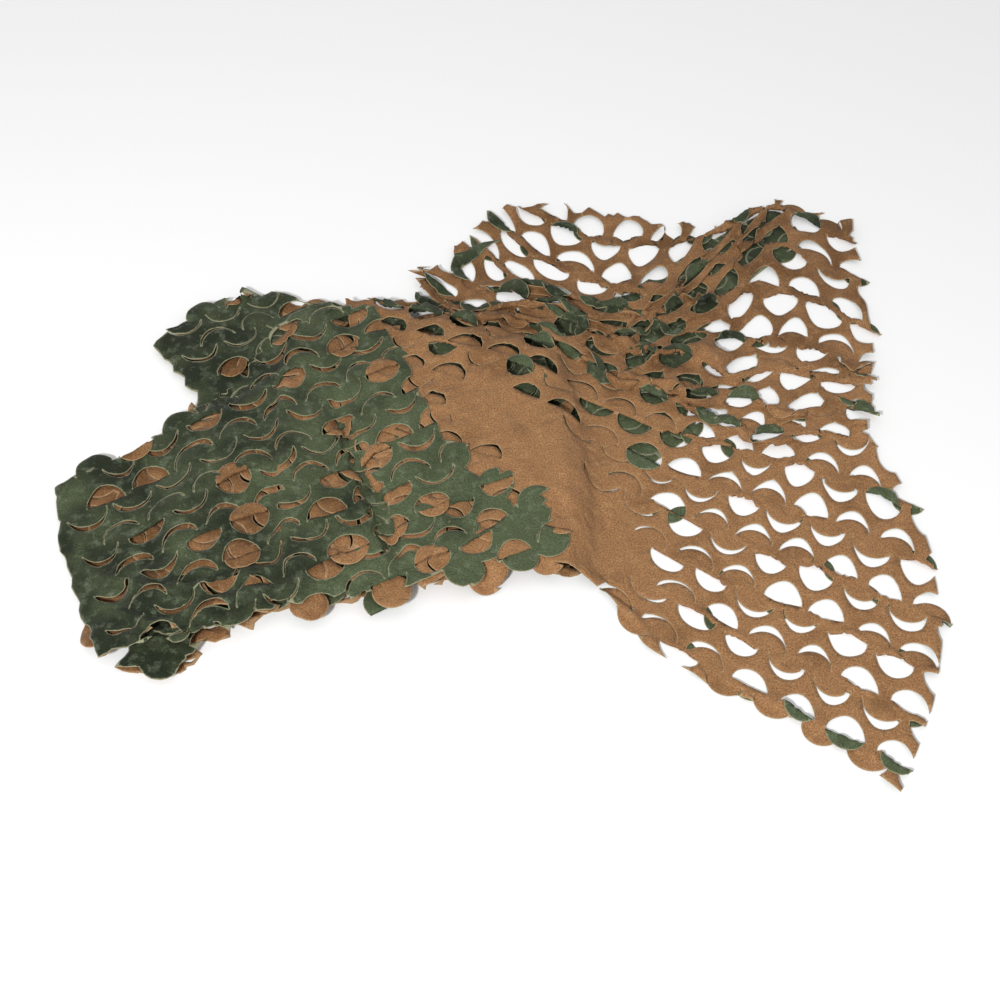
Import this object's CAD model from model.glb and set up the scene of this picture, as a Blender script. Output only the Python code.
"""A one-piece incised camouflage net, brown on one side and green on the other.

The cloth is cut flat, laid out, and then settled: each part of it keeps its true length while it
comes to rest on the floor or on the layers below. All sizes are in metres.
"""

import math
from collections import namedtuple

import bpy
import numpy as np
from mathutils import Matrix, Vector, kdtree, noise
from mathutils.geometry import delaunay_2d_cdt


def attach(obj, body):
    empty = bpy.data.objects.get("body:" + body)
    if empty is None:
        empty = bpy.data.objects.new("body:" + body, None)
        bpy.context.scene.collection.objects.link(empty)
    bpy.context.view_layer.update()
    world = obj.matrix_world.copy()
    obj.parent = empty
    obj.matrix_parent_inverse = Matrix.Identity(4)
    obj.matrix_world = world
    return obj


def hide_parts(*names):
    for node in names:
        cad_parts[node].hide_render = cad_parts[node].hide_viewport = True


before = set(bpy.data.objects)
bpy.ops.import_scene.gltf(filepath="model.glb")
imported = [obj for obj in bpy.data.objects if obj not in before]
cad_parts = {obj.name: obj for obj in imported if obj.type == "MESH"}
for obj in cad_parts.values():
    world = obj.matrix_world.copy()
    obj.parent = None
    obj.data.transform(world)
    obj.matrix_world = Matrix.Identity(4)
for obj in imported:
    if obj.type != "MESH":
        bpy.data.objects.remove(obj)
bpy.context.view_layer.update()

PLAN_TO_FRAME = np.array([0.0188, -0.0909])  # the laying-out plan's origin, in the model's frame

# The cloth and its cuts.
THICKNESS = 0.0009
CUT_PITCH = 0.049  # from one cut to the next along a row; every other one opens the other way
ROW_PITCH = 0.0500
ROW_SHIFT = 0.0444  # how far each row starts after the one before
ROW_TILT = math.radians(14.0)  # the rows climb a little across the cloth
CUT_RADIUS = 0.0306
CUT_HALF_ANGLE = math.radians(81.0)
DOWN, UP = math.radians(-118.0), math.radians(62.0)  # which way the two sorts of cut bulge
CUT_SIZES, CUT_OPENINGS = (0.90, 1.06), (0.92, 1.05)  # each cut's radius and angle, over these
CUT_WANDER, CUT_TURN = 0.0026, 0.14  # how far off its place and its line each cut is
MARGIN = 0.036  # how far past an outline a tongue may stick out
DISC_RADIUS = 0.030  # of the whole discs that stick out past an edge

# The tongues that the cuts free.
FOLD_RADIUS = 0.0014  # of a tongue that is folded over or under
TONGUE_CLEAR = 0.0018  # between a folded tongue and the cloth it lies on or under
TONGUE_NEAR = 0.0065  # cloth this near in the plan counts as over or under a tongue
TURNED = 0.3  # a tongue turned about its root by more than this is folded or raised
ROOT_REACH, ROOT_BACK = 0.016, 0.004  # how far about its root a tongue takes its lie from
LONE_REACH = 0.053  # no two tongues of the packet this near both lie folded over
# How far a tongue is turned about its root, in radians: the least, and how much more at most.
Tongues = namedtuple("Tongues", "under over raised")
SPREAD_TURNS = Tongues((-2.6, -0.4), (2.3, 0.7), (0.7, 1.2))
LAYER_TURNS = Tongues((-2.9, -0.15), (2.85, 0.2), (0.35, 0.45))
# Shares of the spread part's tongues that lie folded under, folded over and raised.
THROAT_TONGUES = Tongues(0.46, 0.12, 0.0)  # at the strip's far side, where it leaves the packet
STRIP_TONGUES = Tongues(0.03, 0.06, 0.0)
FAN_UNDER = 0.44  # more of the strip's tongues lie folded under, once it has opened to the fan
HEAP_TONGUES = Tongues(0.14, 0.48, 0.14)  # in most of the heap, and along the long wrinkle
HEAP_END_TONGUES = Tongues(0.55, 0.20, 0.08)
ARM_TONGUES = Tongues(0.80, 0.06, 0.03)  # in the two far corners
FAN_FROM, FAN_REACH = 0.17, 0.15  # where along x the strip opens
THROAT_FROM, HEAP_END, RIDGE_NEAR = 0.10, 0.42, 0.065
# Shares of each packet layer's tongues that lie folded over and folded under.
LAYER_TONGUES = ((0.02, 0.02), (0.16, 0.14), (0.0, 0.0), (0.13, 0.14))
BUSY_FROM, BUSY_MORE = -0.27, 2.1  # the top layer has more of them past this place along x
RAISED_DRAW = 0.82  # a draw above this leaves a tongue of the top layer raised

# How high tongues folded over and under, the body and level tongues lie over what carries them.
Lift = namedtuple("Lift", "over under body level")
SPREAD_LIFT, LAYER_LIFT = Lift(0.0036, 0.0009, 0.0020, 0.0017), Lift(0.0014, -0.0008, 0.0, 0.0007)

# How finely each patch of cloth is meshed.
SPREAD_MESH, PLY_MESH = 0.0060, 0.0078
LAYER_MESHES = (0.011, 0.0075, 0.0085, 0.0058)
TRIANGLE_HEIGHT = 0.866  # over its side
UNEVEN, CLEAR = 0.16, 0.62  # of the mesh's spacing: how far a point is shifted and kept off a cut

# Stations of the spread part. Points are (x, y) in the plan. flat holds where the near edge, the
# strip's edge, the heap's edge and the far edge lie across the flat cloth: the spread part is
# pulled open to a quarter or a third more than that, and the heap takes the slack. bow is how
# far the strip bulges along x, and pleat how high the slack is heaped.
Station = namedtuple("Station", "near strip heap far flat bow pleat")
STATIONS = (
    Station((-0.140, -0.190), (-0.262, 0.398), (-0.266, 0.408), (-0.270, 0.416),
            (-0.202, 0.410, 0.426, 0.434), bow=0.0, pleat=0.002),
    Station((-0.108, -0.178), (-0.175, 0.398), (-0.180, 0.425), (-0.160, 0.440),
            (-0.200, 0.410, 0.456, 0.470), bow=0.0, pleat=0.006),
    Station((-0.080, -0.165), (-0.110, 0.400), (-0.135, 0.490), (-0.102, 0.560),
            (-0.195, 0.400, 0.549, 0.600), bow=0.0, pleat=0.014),
    Station((0.020, -0.135), (0.000, 0.385), (-0.030, 0.500), (-0.020, 0.650),
            (-0.175, 0.362, 0.600, 0.706), bow=0.0, pleat=0.030),
    Station((0.145, -0.170), (0.120, 0.330), (0.090, 0.490), (0.060, 0.680),
            (-0.210, 0.290, 0.619, 0.756), bow=0.0, pleat=0.040),
    Station((0.225, -0.285), (0.245, 0.220), (0.220, 0.460), (0.200, 0.670),
            (-0.295, 0.176, 0.568, 0.718), bow=0.010, pleat=0.042),
    Station((0.340, -0.365), (0.375, 0.140), (0.360, 0.420), (0.350, 0.650),
            (-0.345, 0.064, 0.445, 0.610), bow=0.030, pleat=0.038),
    Station((0.450, -0.420), (0.495, 0.110), (0.500, 0.350), (0.480, 0.695),
            (-0.395, -0.001, 0.275, 0.522), bow=0.060, pleat=0.026),
    Station((0.550, -0.515), (0.600, 0.130), (0.635, 0.310), (0.650, 0.635),
            (-0.475, -0.004, 0.224, 0.456), bow=0.085, pleat=0.014),
)
FLAT, BOW, PLEAT = slice(8, 12), 12, 13  # columns of the station data, after the four points
ROW_RISE = 0.990  # how much of its flat length the spread part covers along x
SHUT_CUTS = ((-0.035, 0.195), (0.030, 0.120), (0.080, 0.030), (0.120, -0.040), (0.150, -0.090))
SHUT_REACH = 0.043
SPREAD_DISCS = ((-0.015, -0.150),)
HEAP_PLY = (
    (-0.15, 0.31), (0.02, 0.28), (0.08, 0.18), (0.10, 0.03), (0.17, 0.00), (0.23, 0.06),
    (0.31, 0.13), (0.36, 0.26), (0.34, 0.38), (0.22, 0.43), (0.05, 0.42), (-0.15, 0.40),
)
RIDGE_PLY = (
    (0.21, 0.38), (0.30, 0.35), (0.43, 0.48), (0.55, 0.60),
    (0.53, 0.66), (0.47, 0.66), (0.35, 0.57), (0.21, 0.45),
)
PLY_RISE, PLY_FADE = 0.006, 0.035  # how much a lower ply lifts the cloth, and how far past itself
PLY_OFFSET, PLY_LEVEL, PLY_DENTS = (0.04, 0.02), 0.0022, 0.0008
HEAP_WAVES, WAVE_SHIFT, SMALL_WAVE = 2.6, 3.4, 0.012  # the heap's waves, and how uneven they are
RIDGE = ((0.21, 0.36), (0.53, 0.68))  # the long wrinkle
RIDGE_HEIGHT, RIDGE_HALF_WIDTH = 0.042, 0.055
RIDGE_DRAW, RIDGE_REACH = 0.60, 0.11  # how far, and from how near, the cloth is drawn in to it

# The packet's layers, from the floor up, and the edges of their outlines in the plan. A cut edge
# wanders from its path by up to this much, and its seed says which way.
LAYER_LEVELS = (0.0015, 0.0120, 0.0220, 0.0270)
LAYER_NEIGHBOURS = (1, 0, 3, 2)  # the layer that each is joined to at its fold
FOLD_REACH = 0.009  # from a fold's edge to where its layers lie at their own levels
FOLD_NEAR = 0.02  # this near a fold its layers may lie at any height
LAYER_ROOM = (0.006, 0.006, 0.0015, 0.006)  # how far above its own level each layer may rise
PACKET_PUFF = 0.011
LAYER_OPENINGS = (1.04, 1.04, 1.0, 1.15)  # how much longer than its flat cloth each layer lies
Edge = namedtuple("Edge", "path wander seed")
LOW_FOLD = Edge((
    (-0.560, -0.315), (-0.490, -0.20), (-0.440, -0.06), (-0.440, 0.06), (-0.490, 0.19),
    (-0.590, 0.325),
), 0.016, 12.0)
HIGH_FOLD = Edge((
    (-0.580, -0.312), (-0.632, -0.20), (-0.678, -0.09), (-0.703, 0.014),
), 0.009, 13.0)
UNDER_NEAR = Edge((
    (-0.560, -0.315), (-0.505, -0.335), (-0.462, -0.318), (-0.420, -0.262), (-0.300, -0.205),
    (-0.180, -0.185), (0.020, -0.128), (0.105, -0.150),
), 0.016, 3.0)
UNDER_END = ((0.105, -0.150), (0.115, -0.06), (0.110, 0.08), (0.095, 0.20), (0.075, 0.300))
UNDER_FAR = Edge((
    (0.075, 0.300), (-0.070, 0.350), (-0.280, 0.415), (-0.348, 0.433), (-0.394, 0.455),
    (-0.442, 0.463), (-0.495, 0.421), (-0.541, 0.372), (-0.590, 0.325),
), 0.018, 4.0)
MIDDLE_NEAR = Edge((
    (-0.580, -0.312), (-0.425, -0.236), (-0.280, -0.192), (-0.150, -0.165),
), 0.014, 8.0)
MIDDLE_END = ((-0.150, -0.165), (-0.06, -0.02), (-0.12, 0.12), (-0.315, 0.410))
MIDDLE_FAR = ((-0.315, 0.410), (-0.390, 0.28), (-0.520, 0.140), (-0.703, 0.014))
TOP_NEAR = Edge((
    (-0.580, -0.312), (-0.419, -0.266), (-0.351, -0.233), (-0.238, -0.206), (-0.105, -0.172),
    (0.000, -0.135), (0.075, -0.112),
), 0.012, 5.0)
TOP_END = Edge((
    (0.075, -0.112), (0.045, -0.055), (-0.012, 0.000), (-0.075, 0.060), (-0.10, 0.13),
    (-0.16, 0.27), (-0.22, 0.400),
), 0.007, 6.0)
TOP_FAR = Edge((
    (-0.22, 0.400), (-0.340, 0.405), (-0.385, 0.34), (-0.430, 0.24), (-0.495, 0.170),
    (-0.590, 0.092), (-0.703, 0.014),
), 0.012, 7.0)
LAYER_DISCS = (
    (),
    ((-0.495, -0.315), (-0.177, -0.200)),
    ((-0.590, -0.262), (-0.440, -0.288), (-0.283, -0.214), (-0.162, -0.190)),
    ((-0.054, -0.164), (0.032, -0.135), (-0.079, 0.069), (-0.008, 0.008), (0.051, -0.049),
     (0.078, -0.100)),
)
UNCUT_DISCS = (1.0, 1.0, 1.0, 0.6)  # how much of a disc's radius no cut comes into
COVER_REACH = 1.35 * DISC_RADIUS  # the strip keeps low this near a disc at the top layer's end
LAYER_OFFSETS = ((0.0, 0.0), (0.03, 0.01), (0.02, 0.03), (0.0, 0.0))  # where its rows start

# What shapes the packet's upper layers: creases, wrinkles and one long soft step.
Crease = namedtuple("Crease", "path depth half_width")
CREASES = (
    Crease(((-0.268, 0.165), (-0.211, 0.008), (-0.176, -0.080), (-0.150, -0.146)), 0.020, 0.024),
    Crease(((-0.235, 0.06), (-0.190, -0.03), (-0.150, -0.100)), 0.012, 0.014),
    Crease(((-0.512, 0.165), (-0.451, 0.208), (-0.399, 0.264), (-0.400, 0.330)), 0.014, 0.045),
)
NEAR_WRINKLES = (
    ((-0.593, -0.212), (-0.509, -0.262), (-0.441, -0.230), (-0.371, -0.200), (-0.298, -0.184)),
    ((-0.600, -0.160), (-0.500, -0.200), (-0.420, -0.180), (-0.330, -0.150)),
    ((-0.560, -0.270), (-0.480, -0.295), (-0.420, -0.262)),
)
WRINKLE_HEIGHT, WRINKLE_HALF_WIDTH = 0.010, 0.016
BROAD_DENTS, SMALL_DENTS, UPPER_DENTS = 0.0034, 0.0018, 0.0042
LONG_STEP = (
    (-0.343, 0.380), (-0.350, 0.260), (-0.349, 0.107), (-0.334, -0.035), (-0.318, -0.150),
)
STEP_HEIGHT, STEP_HALF_WIDTH = 0.013, 0.045

# Settling. The top layer and the spread part get all the rounds, and hidden cloth a part of them.
ROUNDS, QUICK_ROUNDS = 400, 60
ROUNDS_SHARED = (3, 3, 2, 1)  # by this much for each layer of the packet
PLY_ROUNDS_SHARED = 4
SINK = 0.00012  # how far the cloth is pulled down in a round
# How firmly its body is held to its place: the spread part, what the packet carries of it and the
# packet's layers, and how much more firmly this near their edges.
SPREAD_HOLD, CARRIED_HOLD, LAYER_HOLD = 0.004, 0.04, 0.01
EDGE_HOLD, EDGE_REACH = 0.10, 0.03
KEPT_SPEED, TOP_SPEED = 0.85, 0.002
BEND_FIRM = 0.12  # how firmly the cloth keeps flat across an edge, against 1 for its length
STRETCH_PUSH = 1.6  # how much of each length's error is put right in a round, over its points
LIMITS_EVERY = 25  # rounds between two looks at what lies over and under the tongues

# The cloth's surface: a hand's breadth, a thumb's width, a few threads, and a finger's width.
MOTTLE, SCUFF, GRAIN, RUMPLE = 0.075, 0.018, 0.0024, 0.040
THREAD_PITCH = 0.0011
TIMES_PLUS = {"operation": "MULTIPLY_ADD"}  # the first input times the second, plus the third
COLOUR_MIX = {"data_type": "RGBA"}
# Each colour as it is dyed, dark with dirt, pale where it is scuffed, and frayed at a cut edge.
BROWN = ("986F49", "6F4D2D", "B48C63", "B38F69")
GREEN = ("4E583C", "1D2512", "7B856E", "989879")
RIM = ("776849", "64553A", "958462", "A59573")

# The stage: soft light from above, a key light at the left and the camera at the near side.
FLOOR_REACH = 12
SKY_STRENGTH = 0.60
KEY_PLACE, KEY_SIZE, KEY_POWER = (-1.15, -3.1, 3.1), 0.50, 145
CAMERA_FAR, CAMERA_SLOPE, CAMERA_VIEW = 2.5, math.radians(52.0), math.radians(35.07)

Slit = namedtuple("Slit", "centre radius facing half")
Patch = namedtuple("Patch", "flat faces tongue slits green_up")


def unit(angle):
    return np.array([math.cos(angle), math.sin(angle)])


def smooth(share):
    share = np.clip(share, 0.0, 1.0)
    return share * share * (3.0 - 2.0 * share)


def soft_noise(points, scale, offset=0.0):
    """Smooth noise from -1 to 1 at each of these points."""
    flat = np.zeros((len(points), 3))
    flat[:, : points.shape[1]] = points * scale
    flat += offset
    return np.array([noise.noise(Vector(place)) for place in flat])


def soft_wander(points, scale, first, second):
    """A smooth sideways offset at each of these points."""
    return np.stack([soft_noise(points, scale, first), soft_noise(points, scale, second)], axis=1)


def inside(points, outline):
    """Which of these points lie inside a closed outline."""
    x, y = points[:, 0], points[:, 1]
    found = np.zeros(len(points), bool)
    ends = np.asarray(outline)
    for (ax, ay), (bx, by) in zip(ends, np.roll(ends, -1, axis=0)):
        crosses = (ay > y) != (by > y)
        if ay != by:
            found ^= crosses & (x < (bx - ax) * (y - ay) / (by - ay) + ax)
    return found


def even_points(path, spacing):
    """Points at an even spacing along a path, its last end left out."""
    path = np.asarray(path, float)
    found = []
    for a, b in zip(path[:-1], path[1:]):
        steps = max(1, round(float(np.linalg.norm(b - a)) / spacing))
        found += [a + (b - a) * step / steps for step in range(steps)]
    return found


def distance_to_path(points, path):
    """How far each point lies from a path, and how far along the path it is, from 0 to 1."""
    path = np.asarray(path, float)
    pieces = np.linalg.norm(path[1:] - path[:-1], axis=1)
    best = np.full(len(points), 1e9)
    along = np.zeros(len(points))
    start = 0.0
    for a, b, length in zip(path[:-1], path[1:], pieces):
        if length == 0.0:
            continue
        share = np.clip(((points - a) @ (b - a)) / length**2, 0.0, 1.0)
        off = np.linalg.norm(points - a - share[:, None] * (b - a), axis=1)
        nearer = off < best
        best[nearer] = off[nearer]
        along[nearer] = ((start + share * length) / pieces.sum())[nearer]
        start += length
    return best, along


def rim_distance(points, outline):
    """How far each point lies from a closed outline."""
    return distance_to_path(points, [*outline, outline[0]])[0]


def depth_within(points, outline):
    """How far within a closed outline each point lies, or less than nothing outside it."""
    off = rim_distance(points, outline)
    return np.where(inside(points, outline), off, -off)


def left_of(points, path):
    """Which of these points lie to the left of a path that runs away from the near side."""
    x, y = zip(*path)
    return points[:, 0] < np.interp(points[:, 1], y, x)


# ---- the flat cloth and its cuts ----


def slits_over(low, high, random, mirrored=False, offset=(0.0, 0.0)):
    """The rows of cuts over this stretch of the flat cloth, mirrored where its other side is up."""
    if mirrored:
        low, high = np.array([-high[0], low[1]]), np.array([-low[0], high[1]])
    low, high = low - offset, high - offset
    along_row, up_rows = unit(ROW_TILT), unit(ROW_TILT + math.pi / 2)
    corners = np.array([(x, y) for x in (low[0], high[0]) for y in (low[1], high[1])])
    rows = corners @ up_rows / ROW_PITCH
    found = []
    for row in range(math.floor(rows.min()), math.ceil(rows.max()) + 1):
        steps = (corners @ along_row - row * ROW_SHIFT) / CUT_PITCH
        for step in range(math.floor(steps.min()), math.ceil(steps.max()) + 1):
            middle = along_row * (row * ROW_SHIFT + step * CUT_PITCH) + up_rows * row * ROW_PITCH
            if (middle < low - 0.01).any() or (middle > high + 0.01).any():
                continue
            radius = CUT_RADIUS * random.uniform(*CUT_SIZES)
            half = CUT_HALF_ANGLE * random.uniform(*CUT_OPENINGS)
            facing = UP if step % 2 else DOWN
            place = middle + offset - unit(facing) * 0.5 * radius * (1.0 + math.cos(half))
            place += random.uniform(-CUT_WANDER, CUT_WANDER, 2)
            facing += random.uniform(-CUT_TURN, CUT_TURN)
            if mirrored:
                place[0], facing = -place[0], math.pi - facing
            found.append(Slit(place, radius, facing, half))
    return found


def slit_points(slit, spacing):
    steps = max(6, round(2 * slit.half * slit.radius / spacing))
    angles = np.linspace(slit.facing - slit.half, slit.facing + slit.half, steps + 1)
    return slit.centre + slit.radius * np.stack([np.cos(angles), np.sin(angles)], axis=1)


def root_middle(slit):
    """The middle of a tongue's root, where it folds."""
    return slit.centre + unit(slit.facing) * slit.radius * math.cos(slit.half)


def root_points(slit, spacing):
    """Points along a tongue's root, but for its two ends."""
    facing, reach = unit(slit.facing), slit.radius * math.sin(slit.half)
    shares = np.linspace(-1.0, 1.0, max(4, round(2 * reach / spacing)) + 1)[1:-1]
    return root_middle(slit) + np.outer(shares * reach, [-facing[1], facing[0]])


def clear_of(slit, uncut):
    """Whether a cut stays out of reach of each of these paths."""
    arc = slit_points(slit, 0.01)
    return all(distance_to_path(arc, path)[0].min() > reach for path, reach in uncut)


def in_tongue(points, slit, inset=0.0):
    """Which points lie on the tongue that a cut frees."""
    off = points - slit.centre
    past_root = off @ unit(slit.facing) > slit.radius * math.cos(slit.half) + inset
    return (np.hypot(*off.T) < slit.radius - inset) & past_root


def background(low, high, spacing, fixed, random):
    """Points in a slightly uneven triangular pattern, clear of the fixed ones."""
    tree = kdtree.KDTree(len(fixed))
    for index, point in enumerate(fixed):
        tree.insert((*point, 0.0), index)
    tree.balance()
    rows = math.ceil((high[1] - low[1]) / (spacing * TRIANGLE_HEIGHT)) + 1
    columns = math.ceil((high[0] - low[0]) / spacing) + 1
    row, column = np.meshgrid(np.arange(rows), np.arange(columns), indexing="ij")
    x = low[0] + (column + 0.5 * (row % 2)) * spacing
    y = low[1] + row * spacing * TRIANGLE_HEIGHT
    points = np.stack([x, y], axis=-1).reshape(-1, 2)
    points = points + random.uniform(-UNEVEN, UNEVEN, (rows * columns, 2)) * spacing
    return [point for point in points if tree.find((*point, 0.0))[2] > CLEAR * spacing]


def disc(centre, radius):
    """A closed outline around a disc."""
    angles = np.linspace(0.0, 2.0 * math.pi, 24, endpoint=False)
    return [centre + radius * unit(angle) for angle in angles]


def run_of(start, count, closed=False):
    """The edges that join a run of points one after another."""
    edges = [(start + step, start + step + 1) for step in range(count - 1)]
    return edges + [(start + count - 1, start)] if closed else edges


def cut_patch(outlines, spacing, random, mirrored=False, offset=(0.0, 0.0), uncut=()):
    """A flat patch of cloth inside these outlines, with its cuts opened and its tongues kept whole.

    No cut comes near the uncut paths, where the cloth is folded or carries a whole disc.
    """
    corners = np.concatenate([np.asarray(outline) for outline in outlines])
    low, high = corners.min(axis=0) - MARGIN, corners.max(axis=0) + MARGIN
    slits = slits_over(low, high, random, mirrored, np.array(offset))
    slits = [slit for slit in slits if clear_of(slit, uncut)]
    points, edges, owner = [], [], []
    for index, slit in enumerate(slits):
        arc = slit_points(slit, spacing)
        edges += run_of(len(points), len(arc))
        owner += [index] * (len(arc) - 1)
        points += list(arc)
    for slit in slits:
        root = root_points(slit, spacing)
        edges += run_of(len(points), len(root))
        points += list(root)
    for outline in outlines:
        loop = even_points(list(outline) + [outline[0]], spacing)
        edges += run_of(len(points), len(loop), closed=True)
        points += loop
    points += background(low, high, spacing, points, random)
    verts, out_edges, out_faces, _, from_edges, _ = delaunay_2d_cdt(
        [Vector(point) for point in points], edges, [], 0, 1e-6, True
    )
    flat = np.array([tuple(vert) for vert in verts])
    on_slit = slit_vertices(out_edges, from_edges, owner)
    return open_slits(flat, np.array(out_faces), slits, on_slit, outlines, mirrored)


def slit_vertices(edges, from_edges, owner):
    """Which cut each vertex lies on, but for the two ends of each cut."""
    seen = {}
    for edge, sources in zip(edges, from_edges):
        for source in sources:
            if source < len(owner):
                for vert in edge:
                    seen.setdefault((owner[source], vert), set()).add(tuple(edge))
    return {vert: slit for (slit, vert), found in seen.items() if len(found) > 1}


def open_slits(flat, faces, slits, on_slit, outlines, green_up):
    """Parts the cloth along its cuts, and drops what lies outside the outlines."""
    centres = np.array([slit.centre for slit in slits])
    radii = np.array([slit.radius for slit in slits])
    slit_of = np.full(len(flat), -1)
    slit_of[list(on_slit)] = list(on_slit.values())
    on_cut = slit_of >= 0
    twin = np.full(len(flat), -1)
    twin[on_cut] = len(flat) + np.arange(on_cut.sum())
    middle = flat[faces].mean(axis=1)
    for corner in range(3):
        slit = slit_of[faces[:, corner]]
        near = np.linalg.norm(middle - centres[slit], axis=1) < radii[slit]
        swap = (slit >= 0) & near
        faces[swap, corner] = twin[faces[swap, corner]]
    tongue = np.full(len(flat), -1)
    face_tongue = np.full(len(faces), -1)
    rooted = np.zeros(len(slits), bool)
    for index, slit in enumerate(slits):
        root = root_middle(slit)[None]
        rooted[index] = any(inside(root, outline)[0] for outline in outlines)
        tongue[in_tongue(flat, slit, 1e-5)] = index
        face_tongue[in_tongue(middle, slit)] = index
    tongue = np.concatenate([np.where(on_cut, -1, tongue), slit_of[on_cut]])
    flat = np.concatenate([flat, flat[on_cut]])
    kept = np.any([inside(middle, outline) for outline in outlines], axis=0)
    kept = np.where(face_tongue >= 0, rooted[face_tongue], kept)
    return largest_piece(flat, faces[kept], tongue, slits, green_up)


def largest_piece(flat, faces, tongue, slits, green_up):
    """Drops scraps that hang on to nothing, and points that no face uses."""
    label = np.arange(len(flat))
    while True:
        lowest = label[faces].min(axis=1)
        before = label.copy()
        for corner in range(3):
            np.minimum.at(label, faces[:, corner], lowest)
        label = label[label]
        if (label == before).all():
            break
    counts = np.bincount(label[faces[:, 0]], minlength=len(flat))
    faces = faces[label[faces[:, 0]] == counts.argmax()]
    used = np.unique(faces)
    new = np.full(len(flat), -1)
    new[used] = np.arange(len(used))
    return Patch(flat[used], new[faces], tongue[used], slits, green_up)


# ---- laying out ----


def station_rows():
    """The x of each station, and its data, with one more station beyond each end."""
    rows = [[*s.near, *s.strip, *s.heap, *s.far, *s.flat, s.bow, s.pleat] for s in STATIONS]
    data = np.array(rows)
    data = np.concatenate([[2 * data[0] - data[1]], data, [2 * data[-1] - data[-2]]])
    return 0.5 * (data[:, 0] + data[:, 2]), data


def stations_at(along):
    """The station data at each place along x, on a smooth curve through the stations."""
    places, data = station_rows()
    index = np.clip(np.searchsorted(places, along) - 1, 1, len(places) - 3)
    span = places[index + 1] - places[index]
    t = np.clip((along - places[index]) / span, -0.8, 1.8)[:, None]

    def slope(a, b):
        return (data[b] - data[a]) * (span / (places[b] - places[a]))[:, None]

    before, after = slope(index - 1, index + 1), slope(index, index + 2)
    cubic = (
        (2 * t**3 - 3 * t**2 + 1) * data[index] + (t**3 - 2 * t**2 + t) * before
        + (3 * t**2 - 2 * t**3) * data[index + 1] + (t**3 - t**2) * after
    )
    straight = data[index] + t * (data[index + 1] - data[index])
    return np.where((t < 0) | (t > 1), straight, cubic)


def plan_across(data, v):
    """The plan point at this place across the flat cloth, and the share of the heap before it."""
    flat = data[:, FLAT]
    band = (v[:, None] > flat[:, 1:3]).sum(axis=1)
    rows = np.arange(len(v))
    share = (v - flat[rows, band]) / (flat[rows, band + 1] - flat[rows, band])
    points = data[:, :8].reshape(-1, 4, 2)
    plan = points[rows, band] + share[:, None] * (points[rows, band + 1] - points[rows, band])
    bowed = 4.0 * data[:, BOW] * share * (1.0 - share)
    plan[:, 0] += np.where((band == 0) & (share > 0), bowed, 0.0)
    return plan, (v - flat[:, 1]) / (flat[:, 2] - flat[:, 1])


def plan_of(flat):
    """The plan point of each flat point, found by trying stations until the x agrees."""
    along = flat[:, 0] * ROW_RISE
    for _ in range(14):
        plan, _ = plan_across(stations_at(along), flat[:, 1])
        along = along + 0.5 * (flat[:, 0] * ROW_RISE - plan[:, 0])
    data = stations_at(along)
    plan, heap_share = plan_across(data, flat[:, 1])
    return plan, heap_share, data


def flat_of(plan_point, near_outline):
    """The flat point that is laid nearest to a plan point."""
    low, high = near_outline.min(axis=0) - 0.05, near_outline.max(axis=0) + 0.05
    u, v = np.meshgrid(np.linspace(low[0], high[0], 120), np.linspace(low[1], high[1], 120))
    grid = np.stack([u.ravel(), v.ravel()], axis=1)
    plan, _, _ = plan_of(grid)
    return grid[np.argmin(np.linalg.norm(plan - np.array(plan_point), axis=1))]


def over_ply(plan):
    """From 0 to 1, how far within the lower ply of the heap or the long wrinkle a point is."""
    depth = np.maximum(depth_within(plan, HEAP_PLY), depth_within(plan, RIDGE_PLY))
    return smooth((depth + PLY_FADE) / PLY_FADE)


def ragged(edge):
    """A cut edge that wanders a little about its path, and still starts and ends with it."""
    points = np.array(even_points(edge.path, 0.011) + [edge.path[-1]])
    share = np.linspace(0.0, 1.0, len(points))
    ends = smooth(share / 0.08) * smooth((1.0 - share) / 0.08)
    off = soft_wander(points, 42.0, edge.seed, edge.seed + 9.0)
    return [tuple(point) for point in points + edge.wander * off * ends[:, None]]


def under_outline():
    """The outline of the packet's two lower layers."""
    near, far, fold = ragged(UNDER_NEAR), ragged(UNDER_FAR), ragged(LOW_FOLD)
    return [*near[:-1], *UNDER_END[:-1], *far[:-1], *fold[::-1]]


def middle_outline():
    """The outline of the layer under the top one, which stops short."""
    near, fold = ragged(MIDDLE_NEAR), ragged(HIGH_FOLD)
    return [*near[:-1], *MIDDLE_END[:-1], *MIDDLE_FAR[:-1], *fold[::-1][:-1]]


def top_outline():
    """The outline of the packet's top layer, which lies over the end of the strip."""
    near, end, far = ragged(TOP_NEAR), ragged(TOP_END), ragged(TOP_FAR)
    return [*near[:-1], *end[:-1], *far[:-1], *ragged(HIGH_FOLD)[::-1][:-1]]


def rise_onto_packet(plan):
    """How high the packet carries the spread part, where the strip runs up onto it."""
    depth = depth_within(plan, under_outline())
    return layer_heights(plan, 2) * smooth((depth + 0.055) / 0.065)


def beyond_top_layer(plan):
    """How far each plan point lies past the packet's top layer and the discs at its end."""
    beyond = np.maximum(-depth_within(plan, top_outline()), 0.0)
    for centre in LAYER_DISCS[3]:
        off = np.linalg.norm(plan - centre, axis=1) - COVER_REACH
        beyond = np.minimum(beyond, np.maximum(off, 0.0))
    return beyond


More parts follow.
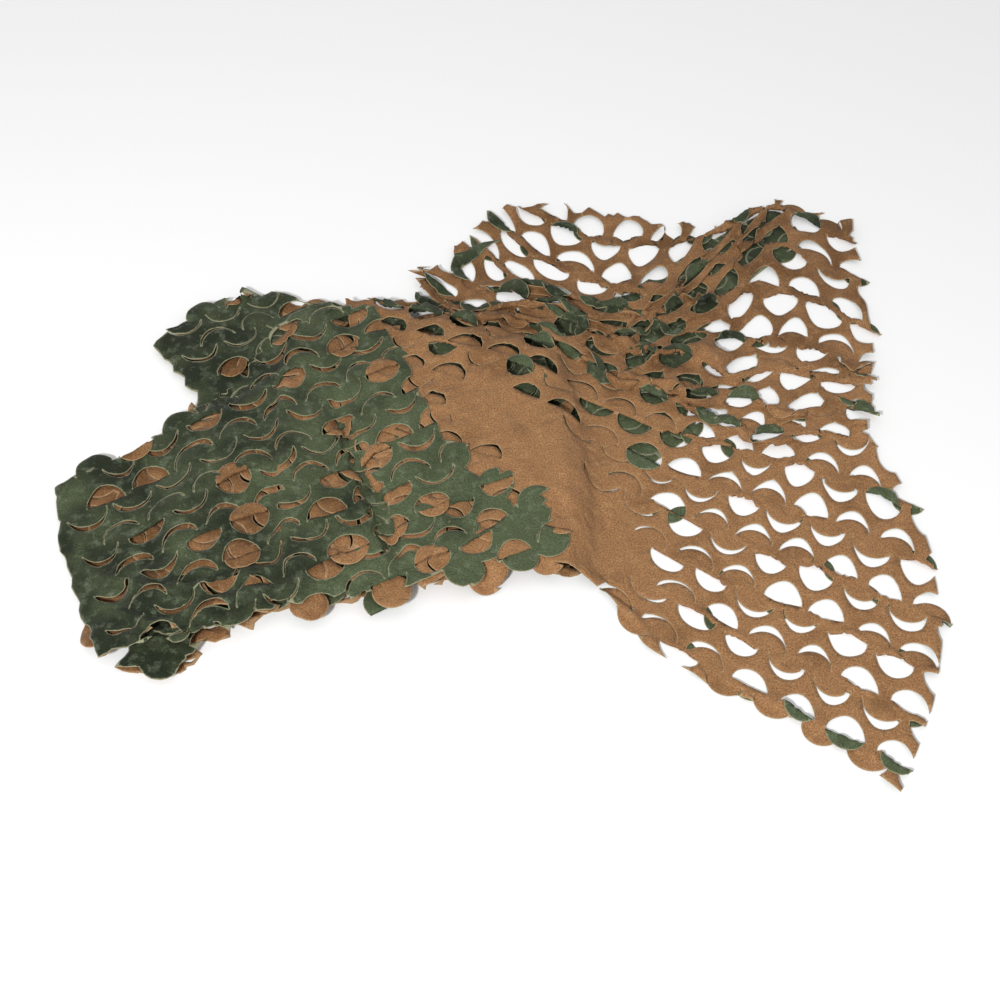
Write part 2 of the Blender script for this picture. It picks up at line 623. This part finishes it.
def gathered(plan):
    """Draws the cloth in towards the long wrinkle."""
    start, end = np.array(RIDGE)
    along = (end - start) / np.linalg.norm(end - start)
    side = np.array([-along[1], along[0]])
    off = (plan - start) @ side
    share = (plan - start) @ along / np.linalg.norm(end - start)
    drawn = RIDGE_DRAW * np.exp(-((off / RIDGE_REACH) ** 2))
    drawn = drawn * smooth(share / 0.2 + 0.3) * smooth((1.15 - share) / 0.3)
    return plan - np.outer(off * drawn, side)


def lay_spread(flat):
    """Where the spread part of the cloth is laid, with its slack heaped in leaning waves."""
    plan, share, data = plan_of(flat)
    plan = gathered(plan)
    heaped = smooth(share / 0.16 + 0.3) * smooth((1.15 - share) / 0.3)
    heaped = heaped * smooth((plan[:, 0] + 0.22) / 0.1)
    phase = share * 2.0 * math.pi * HEAP_WAVES + WAVE_SHIFT * soft_noise(flat, 5.0, 3.1)
    swell = np.clip(0.7 + 1.0 * soft_noise(flat, 10.0, 7.7), 0.1, 1.8)
    wave = np.abs(data[:, PLEAT]) * swell * heaped * (0.5 - 0.5 * np.cos(phase))
    wave += SMALL_WAVE * heaped * np.abs(soft_noise(flat, 24.0, 15.0))
    lean = 0.9 + 1.3 * soft_noise(flat, 7.0, 11.0)
    z = 0.002 + wave + 0.0035 * (1.0 + soft_noise(flat, 22.0, 5.0))
    z += 0.004 * (1.0 + soft_noise(flat, 8.0, 9.0))
    off, along = distance_to_path(plan, RIDGE)
    ridge = RIDGE_HEIGHT * smooth(1.0 - off / RIDGE_HALF_WIDTH) * smooth(share * 3.0)
    ridge = ridge * (0.3 + 0.7 * smooth((1.0 - along) / 0.25))
    z = np.maximum(z, ridge * (0.75 + 0.4 * soft_noise(flat, 16.0, 60.0)))
    z = z + rise_onto_packet(plan) + PLY_RISE * over_ply(plan)
    plan = plan - np.stack([0.5 * lean * wave, lean * wave], axis=1)
    uneven = 0.003 + 0.008 * smooth(share + 0.3)
    plan = plan + soft_wander(plan, 15.0, 20.0, 31.0) * uneven[:, None]
    return np.concatenate([plan, z[:, None]], axis=1)


def path_height(points, path, depth, half_width):
    """A soft trough, or a ridge where depth is less than nothing, along a path."""
    off, along = distance_to_path(points, path)
    ends = smooth(along / 0.15) * smooth((1.0 - along) / 0.15)
    return -depth * smooth(1.0 - off / half_width) * (0.4 + 0.6 * ends)


def step_height(points, path, height, half_width):
    """A soft ridge that is steeper on its left side than on its right, along a path."""
    off, _ = distance_to_path(points, path)
    width = np.where(left_of(points, path[::-1]), half_width * 0.45, half_width * 1.8)
    far_end, near_end = path[0][1], path[-1][1]
    ends = smooth((points[:, 1] - near_end + 0.08) / 0.08)
    ends = ends * smooth((far_end + 0.04 - points[:, 1]) / 0.08)
    return height * smooth(1.0 - off / width) * ends


def layer_heights(plan, layer):
    """How high a layer of the packet lies."""
    low, _ = distance_to_path(plan, LOW_FOLD.path)
    beyond = np.where(left_of(plan, LOW_FOLD.path), low, -low)
    past = smooth((beyond - 0.01) / 0.09)  # past the low fold, only the two upper layers are left
    lowered = layer - 2.0 * past if layer >= 2 else np.full(len(plan), float(layer))
    puff = PACKET_PUFF * (0.5 + 0.5 * soft_noise(plan, 7.0)) * np.minimum(1.0, lowered)
    z = np.interp(lowered, range(4), LAYER_LEVELS) + puff
    dents = BROAD_DENTS * soft_noise(plan, 26.0, 4.0) + SMALL_DENTS * soft_noise(plan, 52.0, 6.0)
    z = z + dents * min(1.0, layer)
    if layer >= 2:
        for crease in CREASES:
            z = z + path_height(plan, *crease)
        z = z + step_height(plan, LONG_STEP, STEP_HEIGHT, STEP_HALF_WIDTH)
        for wrinkle in NEAR_WRINKLES:
            z = z + path_height(plan, wrinkle, -WRINKLE_HEIGHT, WRINKLE_HALF_WIDTH)
        z = z + UPPER_DENTS * soft_noise(plan, 13.0, 40.0)
    return np.maximum(z, 0.0015 + 0.0030 * layer)


def lay_layer(flat, layer, fold):
    """Lays a layer of the packet, and turns it down or up to its neighbour at their fold."""
    plan = flat * [1.0, LAYER_OPENINGS[layer]]
    z = layer_heights(plan, layer)
    off, _ = distance_to_path(plan, fold)
    target = 0.5 * (z + layer_heights(plan, LAYER_NEIGHBOURS[layer]))
    reach = 1.0 - np.clip(off / FOLD_REACH, 0.0, 1.0)
    z = z + (target - z) * (1.0 - np.sqrt(np.clip(1.0 - reach * reach, 0.0, 1.0)))
    wander = soft_wander(plan, 8.0, 20.0 + 7.0 * layer, 31.0 + 7.0 * layer)
    plan = plan + [0.010, 0.015] * wander * smooth(off / 0.06)[:, None]
    return np.concatenate([plan, z[:, None]], axis=1)


def hinge(height, turn):
    """Rolls a tongue about its root: how far out and how far up each point on it comes."""
    if abs(turn) < 0.35:
        return height * math.cos(turn), height * math.sin(turn)
    side = math.copysign(1.0, turn)
    angle = np.clip(height / FOLD_RADIUS, 0.0, abs(turn))
    left = np.clip(height - FOLD_RADIUS * abs(turn), 0.0, None)
    out = FOLD_RADIUS * np.sin(angle) + left * math.cos(turn)
    up = side * (FOLD_RADIUS * (1.0 - np.cos(angle)) + left * math.sin(abs(turn)))
    return out, up


def lay_patch(patch, lay, turns):
    """Lays the body of a patch, and each tongue as it hangs on its root."""
    points = lay(patch.flat)
    for index, slit in enumerate(patch.slits):
        mine = np.flatnonzero(patch.tongue == index)
        if not len(mine):
            continue
        facing = unit(slit.facing)
        side = np.array([-facing[1], facing[0]])
        root = root_middle(slit)
        ends = [root - side * ROOT_REACH, root + side * ROOT_REACH]
        origin, left, right, behind = lay(np.array([root, *ends, root - facing * ROOT_BACK]))
        sideways = right - left
        sideways /= np.linalg.norm(sideways)
        outward = origin - behind
        outward -= sideways * (outward @ sideways)
        outward /= np.linalg.norm(outward)
        normal = np.cross(outward, sideways)
        if normal[2] < 0:
            normal = -normal
        off = patch.flat[mine] - root
        out, up = hinge(np.clip(off @ facing, 0.0, None), turns[index])
        beside = np.outer(off @ side, sideways)
        points[mine] = origin + beside + np.outer(out, outward) + np.outer(up, normal)
    return points


# ---- settling ----


def sides_of(faces):
    """The three sides of each face, and a number for each that only its neighbour's side shares."""
    sides = np.concatenate([faces[:, [0, 1]], faces[:, [1, 2]], faces[:, [2, 0]]])
    sides = np.sort(sides, axis=1)
    return sides, sides[:, 0] * np.int64(faces.max() + 1) + sides[:, 1]


def spans(patch):
    """The cloth's edges and the pairs of points across each edge, with how firmly each is held."""
    sides, key = sides_of(patch.faces)
    opposite = patch.faces[:, [2, 0, 1]].T.ravel()
    sort = np.argsort(key, kind="stable")
    key, sides, opposite = key[sort], sides[sort], opposite[sort]
    first = np.concatenate([[True], key[1:] != key[:-1]])
    edges = sides[first]
    paired = np.flatnonzero(~first)
    bends = np.stack([opposite[paired - 1], opposite[paired]], axis=1)
    pairs = np.concatenate([edges, bends])
    firm = np.concatenate([np.ones(len(edges)), np.full(len(bends), BEND_FIRM)])
    rest = np.linalg.norm(patch.flat[pairs[:, 0]] - patch.flat[pairs[:, 1]], axis=1)
    return pairs, rest, firm


def tongue_limits(patch, points, turns, lowest, highest):
    """Keeps a tongue folded over above the cloth it lies on, and one folded under below it."""
    body = np.flatnonzero(patch.tongue < 0)
    plan = points * [1.0, 1.0, 0.0]
    tree = kdtree.KDTree(len(body))
    for index in body:
        tree.insert(plan[index], int(index))
    tree.balance()
    low, high = lowest.copy(), highest.copy()
    for index in np.flatnonzero(patch.tongue >= 0):
        turn = turns[patch.tongue[index]]
        if abs(turn) < TURNED:
            continue
        found = tree.find_range(plan[index], TONGUE_NEAR)
        if not found:
            continue
        heights = [points[other, 2] for _, other, _ in found]
        if turn > 0:
            low[index] = max(low[index], max(heights) + TONGUE_CLEAR)
        else:
            high[index] = min(high[index], min(heights) - TONGUE_CLEAR)
            low[index] = min(low[index], max(high[index], 0.0006))
    return low, np.maximum(low, high)


def settle(patch, points, turns, hold, lowest, highest, rounds):
    """Lets the cloth take its true lengths while it is pulled down and held near its place."""
    pairs, rest, firm = spans(patch)
    i, j = pairs.T
    count = np.bincount(i, firm, len(points)) + np.bincount(j, firm, len(points))
    place = points.copy()
    speed = np.zeros_like(points)
    for number in range(rounds):
        if number % LIMITS_EVERY == 0:
            low, high = tongue_limits(patch, points, turns, lowest, highest)
        points[:, 2] -= SINK
        points += speed * KEPT_SPEED
        start = points.copy()
        span = points[j] - points[i]
        length = np.sqrt((span * span).sum(axis=1))
        pull = (0.5 * firm * (1.0 - rest / np.maximum(length, 1e-6)))[:, None] * span
        for axis in range(3):
            move = np.bincount(i, pull[:, axis], len(points))
            move -= np.bincount(j, pull[:, axis], len(points))
            points[:, axis] += STRETCH_PUSH * move / count
        points[:, :2] += hold[:, None] * (place[:, :2] - points[:, :2])
        points[:, 2] += np.minimum(hold, 0.5) * 0.5 * (place[:, 2] - points[:, 2])
        points[:, 2] = np.clip(points[:, 2], low, high)
        speed = np.clip(points - start, -TOP_SPEED, TOP_SPEED)
    return points


def lifts(patch, turns, lift):
    """How high each point lies over what carries it, by whether and how its tongue is turned."""
    loose, turn = patch.tongue >= 0, turns[patch.tongue]
    found = np.where(loose, np.where(turn > TURNED, lift.over, lift.under), lift.body)
    return np.where(loose & (np.abs(turn) < TURNED), lift.level, found)


# ---- the two pieces ----


def spread_outline():
    """The outline of the spread part, flat."""
    places, data = station_rows()
    rows = stations_at(np.linspace(places[1], places[-2], 90))
    flat = rows[:, FLAT]
    near = np.stack([rows[:, 0] / ROW_RISE, flat[:, 0]], axis=1)
    far = np.stack([rows[:, 6] / ROW_RISE, flat[:, 3]], axis=1)
    near[:, 1] += 0.007 * soft_noise(near, 30.0, 5.0)
    far[:, 1] += 0.018 * soft_noise(far, 38.0, 2.0)
    end = data[-2]
    near_x, strip_x, heap_x = end[0:6:2]
    near_v, strip_v, heap_v, _ = end[FLAT]
    share = np.linspace(0.05, 0.95, 12)
    x = near_x + share * (strip_x - near_x) + 4.0 * end[BOW] * share * (1.0 - share)
    side = list(zip(x / ROW_RISE, near_v + share * (strip_v - near_v)))
    side += [(strip_x / ROW_RISE, strip_v), (heap_x / ROW_RISE, heap_v)]
    return np.concatenate([near, side, far[::-1]])


def turn_of(kind, size):
    """How far a tongue of this kind is turned, from the least to the most of its kind."""
    least, more = kind
    return least + more * size


def spread_turns(patch, random):
    """How far each tongue of the spread part has folded: under, over, raised or hardly at all."""
    turns = []
    centres = np.array([slit.centre for slit in patch.slits])
    plan, share, _ = plan_of(centres)
    off, _ = distance_to_path(plan, RIDGE)
    for (x, y), heap, ridge in zip(plan, share, off):
        draw, size = random.uniform(), random.uniform()
        if heap < 0 and x < FAN_FROM and y > THROAT_FROM:
            under, over, raised = THROAT_TONGUES
        elif heap < 0:
            under, over, raised = STRIP_TONGUES
            under += FAN_UNDER * float(smooth((x - FAN_FROM) / FAN_REACH))
        elif (heap < 1 and x < HEAP_END) or ridge < RIDGE_NEAR:
            under, over, raised = HEAP_TONGUES
        elif heap < 1:
            under, over, raised = HEAP_END_TONGUES
        else:
            under, over, raised = ARM_TONGUES
        if draw < under:
            turns.append(turn_of(SPREAD_TURNS.under, size))
        elif draw < under + over:
            turns.append(turn_of(SPREAD_TURNS.over, size))
        elif draw < under + over + raised:
            turns.append(turn_of(SPREAD_TURNS.raised, size))
        else:
            turns.append(0.16 * (size - 0.4))  # all but level
    return np.array(turns)


def spread_cloth(random, rounds):
    """The spread part, with the strip that runs from it up onto the packet."""
    outline = spread_outline()
    shapes, uncut = [outline], []
    for centre in SPREAD_DISCS:
        centre = flat_of(centre, outline)
        shapes.append(disc(centre, DISC_RADIUS))
        uncut.append(([centre, centre + 0.001], DISC_RADIUS + 0.001))
    # The cuts in the middle of the strip lie shut and don't show, so they are left out.
    uncut.append(([flat_of(place, outline) for place in SHUT_CUTS], SHUT_REACH))
    patch = cut_patch(shapes, SPREAD_MESH, random, uncut=uncut)
    turns = spread_turns(patch, random)
    points = lay_patch(patch, lay_spread, turns)
    plan = points[:, :2]
    rim = rim_distance(patch.flat, outline)
    body = patch.tongue < 0
    hold = np.where(body, SPREAD_HOLD + EDGE_HOLD * smooth(1.0 - rim / EDGE_REACH), 0.0)
    carried = rise_onto_packet(plan)
    hold = np.where(body & (carried > 0.01), CARRIED_HOLD, hold)
    carried = carried + PLY_RISE * over_ply(plan)
    beyond = beyond_top_layer(plan)
    highest = carried + 0.0026 + 0.056 * smooth((beyond - 0.004) / 0.06)
    highest = np.minimum(0.058, highest)
    lift = lifts(patch, turns, SPREAD_LIFT)
    lift = np.minimum(lift, 0.0004 + 0.0040 * smooth(beyond / 0.03))
    points = settle(patch, points, turns, hold, lift + carried, highest, rounds)
    return patch, points


def heap_ply(random, rounds):
    """The lower ply of the heap and of the long wrinkle, which shows through the cuts above it."""
    shapes = [np.array(HEAP_PLY), np.array(RIDGE_PLY)]
    patch = cut_patch(shapes, PLY_MESH, random, mirrored=True, offset=PLY_OFFSET)
    turns = np.full(len(patch.slits), 0.02)

    def lay(flat):
        return np.column_stack([flat, PLY_LEVEL + PLY_DENTS * soft_noise(flat, 15.0, 70.0)])

    points = lay_patch(patch, lay, turns)
    hold = np.where(patch.tongue < 0, 0.02, 0.0)
    level = np.full(len(points), 0.001)
    return patch, settle(patch, points, turns, hold, level, level + 0.003, rounds)


def lone_folds(slits, turns):
    """Lets no tongue lie folded over right beside another that does."""
    centres = np.array([slit.centre for slit in slits])
    for index in np.flatnonzero(turns > 1.0):
        near = np.linalg.norm(centres - centres[index], axis=1) < LONE_REACH
        if (turns[near] > 1.0).sum() > 1:
            turns[index] = 0.02
    return turns


def layer_turns(slits, layer, random):
    """How far each tongue of a packet layer has folded: over, under, raised or hardly at all."""
    over, under = LAYER_TONGUES[layer]
    turns = []
    for slit in slits:
        draw, size = random.uniform(), random.uniform()
        more = BUSY_MORE if layer == 3 and slit.centre[0] > BUSY_FROM else 1.0
        if draw < more * over:
            turns.append(turn_of(LAYER_TURNS.over, size))
        elif draw < more * (over + under):
            turns.append(turn_of(LAYER_TURNS.under, size))
        elif layer == 3 and draw > RAISED_DRAW:
            turns.append(turn_of(LAYER_TURNS.raised, size))
        else:
            turns.append(0.22 * (size - 0.25))  # all but level
    return lone_folds(slits, np.array(turns))


def layer_patch(outline, layer, fold, random, rounds):
    """One layer of the packet, cut, laid and settled in its band of height."""
    flat_size = np.array([1.0, 1.0 / LAYER_OPENINGS[layer]])
    shapes = [np.asarray(outline) * flat_size]
    uncut = [(fold * flat_size, FOLD_REACH)]
    disc_clear = UNCUT_DISCS[layer] * DISC_RADIUS
    for centre in LAYER_DISCS[layer]:
        centre = np.array(centre) * flat_size
        shapes.append(disc(centre, DISC_RADIUS))
        uncut.append(([centre, centre + 0.001], disc_clear))
    spacing, offset = LAYER_MESHES[layer], LAYER_OFFSETS[layer]
    patch = cut_patch(shapes, spacing, random, layer % 2 == 1, offset, uncut)
    turns = layer_turns(patch.slits, layer, random)
    points = lay_patch(patch, lambda flat: lay_layer(flat, layer, fold), turns)
    level = layer_heights(points[:, :2], layer)
    plan = patch.flat * [1.0, LAYER_OPENINGS[layer]]
    rim = rim_distance(plan, outline)
    fold_off, _ = distance_to_path(plan, fold)
    body = patch.tongue < 0
    hold = np.where(body, LAYER_HOLD + EDGE_HOLD * smooth(1.0 - rim / EDGE_REACH), 0.0)
    hold = np.where(body & (fold_off < 0.002), 1.0, hold)
    lift = lifts(patch, turns, LAYER_LIFT)
    near_fold = fold_off < FOLD_NEAR
    lowest = np.where(near_fold, 0.001, np.maximum(0.001, level + lift))
    highest = np.where(near_fold, 0.06, level + lift + LAYER_ROOM[layer])
    rounds = rounds // ROUNDS_SHARED[layer]
    return patch, settle(patch, points, turns, hold, lowest, highest, rounds)


def packet_cloth(random, rounds):
    """The four layers of the packet, each joined to the next at a fold."""
    low, high = np.array(ragged(LOW_FOLD)), np.array(ragged(HIGH_FOLD))
    return [
        layer_patch(under_outline(), 0, low, random, rounds),
        layer_patch(under_outline(), 1, low, random, rounds),
        layer_patch(middle_outline(), 2, high, random, rounds),
        layer_patch(top_outline(), 3, high, random, rounds),
    ]


def stand(name, data):
    """A new object of this name in the scene."""
    made = bpy.data.objects.new(name, data)
    bpy.context.scene.collection.objects.link(made)
    return made


def mark_cut_edges(mesh, faces):
    """Marks each point that lies on a cut or on the net's own edge."""
    sides, key = sides_of(faces)
    _, first, uses = np.unique(key, return_index=True, return_counts=True)
    cut = np.zeros(len(mesh.vertices), np.float32)
    cut[sides[first[uses == 1]].ravel()] = 1.0
    mesh.attributes.new("cut edge", "FLOAT", "POINT").data.foreach_set("value", cut)


def cloth_object(name, patches, materials):
    """One mesh of these patches, given the cloth's thickness."""
    verts, faces, start = [], [], 0
    for patch, points in patches:
        placed = points.copy()
        placed[:, :2] += PLAN_TO_FRAME
        verts.append(placed)
        faces.append((patch.faces[:, ::-1] if patch.green_up else patch.faces) + start)
        start += len(points)
    verts, faces = np.concatenate(verts), np.concatenate(faces)
    mesh = bpy.data.meshes.new(name)
    mesh.from_pydata(verts.tolist(), [], faces.tolist())
    mesh.validate()
    flat = np.concatenate([patch.flat for patch, _ in patches])
    corner = np.empty(len(mesh.loops), np.int32)
    mesh.loops.foreach_get("vertex_index", corner)
    uv = mesh.uv_layers.new(name="flat cloth")
    uv.data.foreach_set("uv", flat[corner].astype(np.float32).ravel())
    mark_cut_edges(mesh, faces)
    for material in materials:
        mesh.materials.append(material)
    mesh.shade_smooth()
    piece = stand(name, mesh)
    thicken = piece.modifiers.new("cloth thickness", "SOLIDIFY")
    thicken.thickness = THICKNESS
    thicken.offset = 0.0
    thicken.use_rim = True
    thicken.material_offset = 1
    thicken.material_offset_rim = 2
    return piece


# ---- the materials, the stage and the whole ----


def colour(code):
    """A colour from its six hexadecimal sRGB digits."""
    parts = [int(code[start : start + 2], 16) / 255 for start in (0, 2, 4)]
    linear = [p / 12.92 if p <= 0.04045 else ((p + 0.055) / 1.055) ** 2.4 for p in parts]
    return linear + [1.0]


def add(tree, kind, settings=None, inputs=None):
    """Adds a shader node with its settings; an input is a value, or another node's output."""
    node = tree.nodes.new("ShaderNode" + kind)
    for key, value in (settings or {}).items():
        setattr(node, key, value)
    for key, value in (inputs or {}).items():
        if isinstance(value, bpy.types.NodeSocket):
            tree.links.new(value, node.inputs[key])
        else:
            node.inputs[key].default_value = value
    return node


def coated_cloth(name, shades, roughness):
    """Woven polyester, dyed and coated: dull, with a fine thread grain and a faint silky sheen."""
    material = bpy.data.materials.new(name)
    material.use_nodes = True
    tree = material.node_tree
    shader = tree.nodes["Principled BSDF"]
    place = add(tree, "TexCoord").outputs["Object"]
    flat = add(tree, "UVMap", {"uv_map": "flat cloth"}).outputs["UV"]
    main, dark, pale, frayed = (colour(code) for code in shades)
    # Dye and coating are uneven over a hand's breadth; scuffs are a thumb's width.
    cloud = add(tree, "TexNoise", None, {
        "Vector": place, "Scale": 1 / MOTTLE, "Detail": 3.0}).outputs["Fac"]
    scuff = add(tree, "TexNoise", None, {
        "Vector": flat, "Scale": 1 / SCUFF, "Detail": 4.0, "Roughness": 0.65}).outputs["Fac"]
    grain = add(tree, "TexNoise", None, {
        "Vector": flat, "Scale": 1 / GRAIN, "Detail": 2.0, "Roughness": 0.7}).outputs["Fac"]
    # The packet's end and the far side are the dirtier ones.
    where = add(tree, "SeparateXYZ", None, {"Vector": place}).outputs
    right = add(tree, "MapRange", None, {"Value": where["X"], 1: -0.40, 2: -0.12, 3: 0.0, 4: 0.27})
    near = add(tree, "MapRange", None, {"Value": where["Y"], 1: 0.34, 2: 0.06, 3: 0.1, 4: 1.0})
    clean = add(tree, "Math", TIMES_PLUS, {0: right.outputs[0], 1: near.outputs[0], 2: cloud})
    clean = add(tree, "MapRange", None, {"Value": clean.outputs[0], 1: 0.40, 2: 0.76})
    dyed = add(tree, "Mix", COLOUR_MIX, {0: clean.outputs[0], 6: dark, 7: main})
    worn = add(tree, "MapRange", None, {"Value": scuff, 1: 0.52, 2: 0.95})
    scuffed = add(tree, "Mix", COLOUR_MIX, {0: worn.outputs[0], 6: dyed.outputs[2], 7: pale})
    threads = add(tree, "MapRange", None, {"Value": grain, 1: 0.30, 2: 0.70, 3: 0.15, 4: 0.85})
    speckled = add(tree, "Mix", {**COLOUR_MIX, "blend_type": "OVERLAY"}, {
        0: 0.75, 6: scuffed.outputs[2], 7: threads.outputs[0]})
    # The coating has come off the threads in a thin, uneven line along each cut.
    edge = add(tree, "Attribute", {"attribute_name": "cut edge"}).outputs["Fac"]
    fray = add(tree, "Math", TIMES_PLUS, {0: grain, 1: 0.35, 2: edge}).outputs[0]
    fray = add(tree, "MapRange", None, {"Value": fray, 1: 0.86, 2: 1.10, 3: 0.0, 4: 0.85})
    edged = add(tree, "Mix", COLOUR_MIX, {0: fray.outputs[0], 6: speckled.outputs[2], 7: frayed})
    tree.links.new(edged.outputs[2], shader.inputs["Base Color"])
    # The threads cross at right angles. Their real pitch is 0.4 mm, and they are drawn at
    # 1.1 mm so that they show.
    wave = {"Vector": flat, "Scale": 0.314 / THREAD_PITCH, "Distortion": 0.6, "Detail": 1.0}
    warp = add(tree, "TexWave", {"bands_direction": "X"}, wave).outputs["Fac"]
    weft = add(tree, "TexWave", {"bands_direction": "Y"}, wave).outputs["Fac"]
    weave = add(tree, "Math", {"operation": "MAXIMUM"}, {0: warp, 1: weft}).outputs[0]
    height = add(tree, "Math", TIMES_PLUS, {0: grain, 1: 0.8, 2: weave}).outputs[0]
    # Handling has left it rumpled: shallow dents and creases a finger wide.
    rumple = add(tree, "TexNoise", None, {
        "Vector": place, "Scale": 1 / RUMPLE, "Detail": 3.0, "Roughness": 0.5, "Distortion": 1.2})
    dented = add(tree, "Bump", None, {
        "Height": rumple.outputs["Fac"], "Distance": 0.0080, "Strength": 0.8}).outputs["Normal"]
    bump = add(tree, "Bump", None, {
        "Height": height, "Distance": 0.00022, "Strength": 0.7, "Normal": dented})
    tree.links.new(bump.outputs["Normal"], shader.inputs["Normal"])
    rough = add(tree, "MapRange", None, {
        "Value": scuff, 1: 0.3, 2: 0.7, 3: roughness - 0.08, 4: roughness + 0.10})
    tree.links.new(rough.outputs[0], shader.inputs["Roughness"])
    shader.inputs["IOR"].default_value = 1.5
    shader.inputs["Specular IOR Level"].default_value = 0.22
    shader.inputs["Sheen Weight"].default_value = 0.06
    shader.inputs["Sheen Roughness"].default_value = 0.5
    return material


def stage():
    """A plain pale floor, soft light from above and a camera at the near side."""
    scene = bpy.context.scene
    mesh = bpy.data.meshes.new("floor")
    r = FLOOR_REACH
    mesh.from_pydata([(-r, -r, 0), (r, -r, 0), (r, r, 0), (-r, r, 0)], [], [(0, 1, 2, 3)])
    floor = stand("floor", mesh)
    pale = bpy.data.materials.new("pale paper")
    pale.use_nodes = True
    paper = pale.node_tree.nodes["Principled BSDF"]
    paper.inputs["Base Color"].default_value = (0.98, 0.98, 0.98, 1)
    paper.inputs["Roughness"].default_value = 0.9
    floor.data.materials.append(pale)
    world = scene.world or bpy.data.worlds.new("World")
    scene.world = world
    world.use_nodes = True
    sky = world.node_tree.nodes["Background"]
    sky.inputs["Color"].default_value = (1, 1, 1, 1)
    sky.inputs["Strength"].default_value = SKY_STRENGTH
    light = bpy.data.lights.new("key", "AREA")
    light.shape = "DISK"
    light.size = KEY_SIZE
    light.energy = KEY_POWER
    key = stand("key", light)
    key.location = KEY_PLACE
    key.rotation_euler = (-key.location).to_track_quat("-Z", "Y").to_euler()
    camera = stand("camera", bpy.data.cameras.new("camera"))
    aim = Vector((*PLAN_TO_FRAME, 0.0))
    back, up = CAMERA_FAR * math.cos(CAMERA_SLOPE), CAMERA_FAR * math.sin(CAMERA_SLOPE)
    camera.location = aim + Vector((0.0, -back, up))
    camera.rotation_euler = (aim - camera.location).to_track_quat("-Z", "Y").to_euler()
    camera.data.lens_unit = "FOV"
    camera.data.angle = CAMERA_VIEW
    scene.view_settings.view_transform = "Standard"
    scene.camera = camera


def main():
    random = np.random.default_rng(7)
    rounds = ROUNDS
    # The brown side is duller than the green, and shows more of its weave where it is scuffed.
    brown = coated_cloth("brown coated polyester", BROWN, 0.72)
    # The green side still has most of its coating, so it keeps a low shine.
    green = coated_cloth("green coated polyester", GREEN, 0.58)
    # Along a cut the bare threads stand out pale against either side.
    rim = coated_cloth("frayed cut edge", RIM, 0.85)
    spread = [spread_cloth(random, rounds), heap_ply(random, rounds // PLY_ROUNDS_SHARED)]
    pieces = [
        ("spread_cloth", spread, (1.0, 1.25)),
        ("folded_cloth", packet_cloth(random, rounds), (0.82, 2.6)),
    ]
    for name, patches, size in pieces:
        piece = cloth_object(name, patches, [brown, green, rim])
        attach(piece, "root")
        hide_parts("camouflage_net")
    stage()


main()
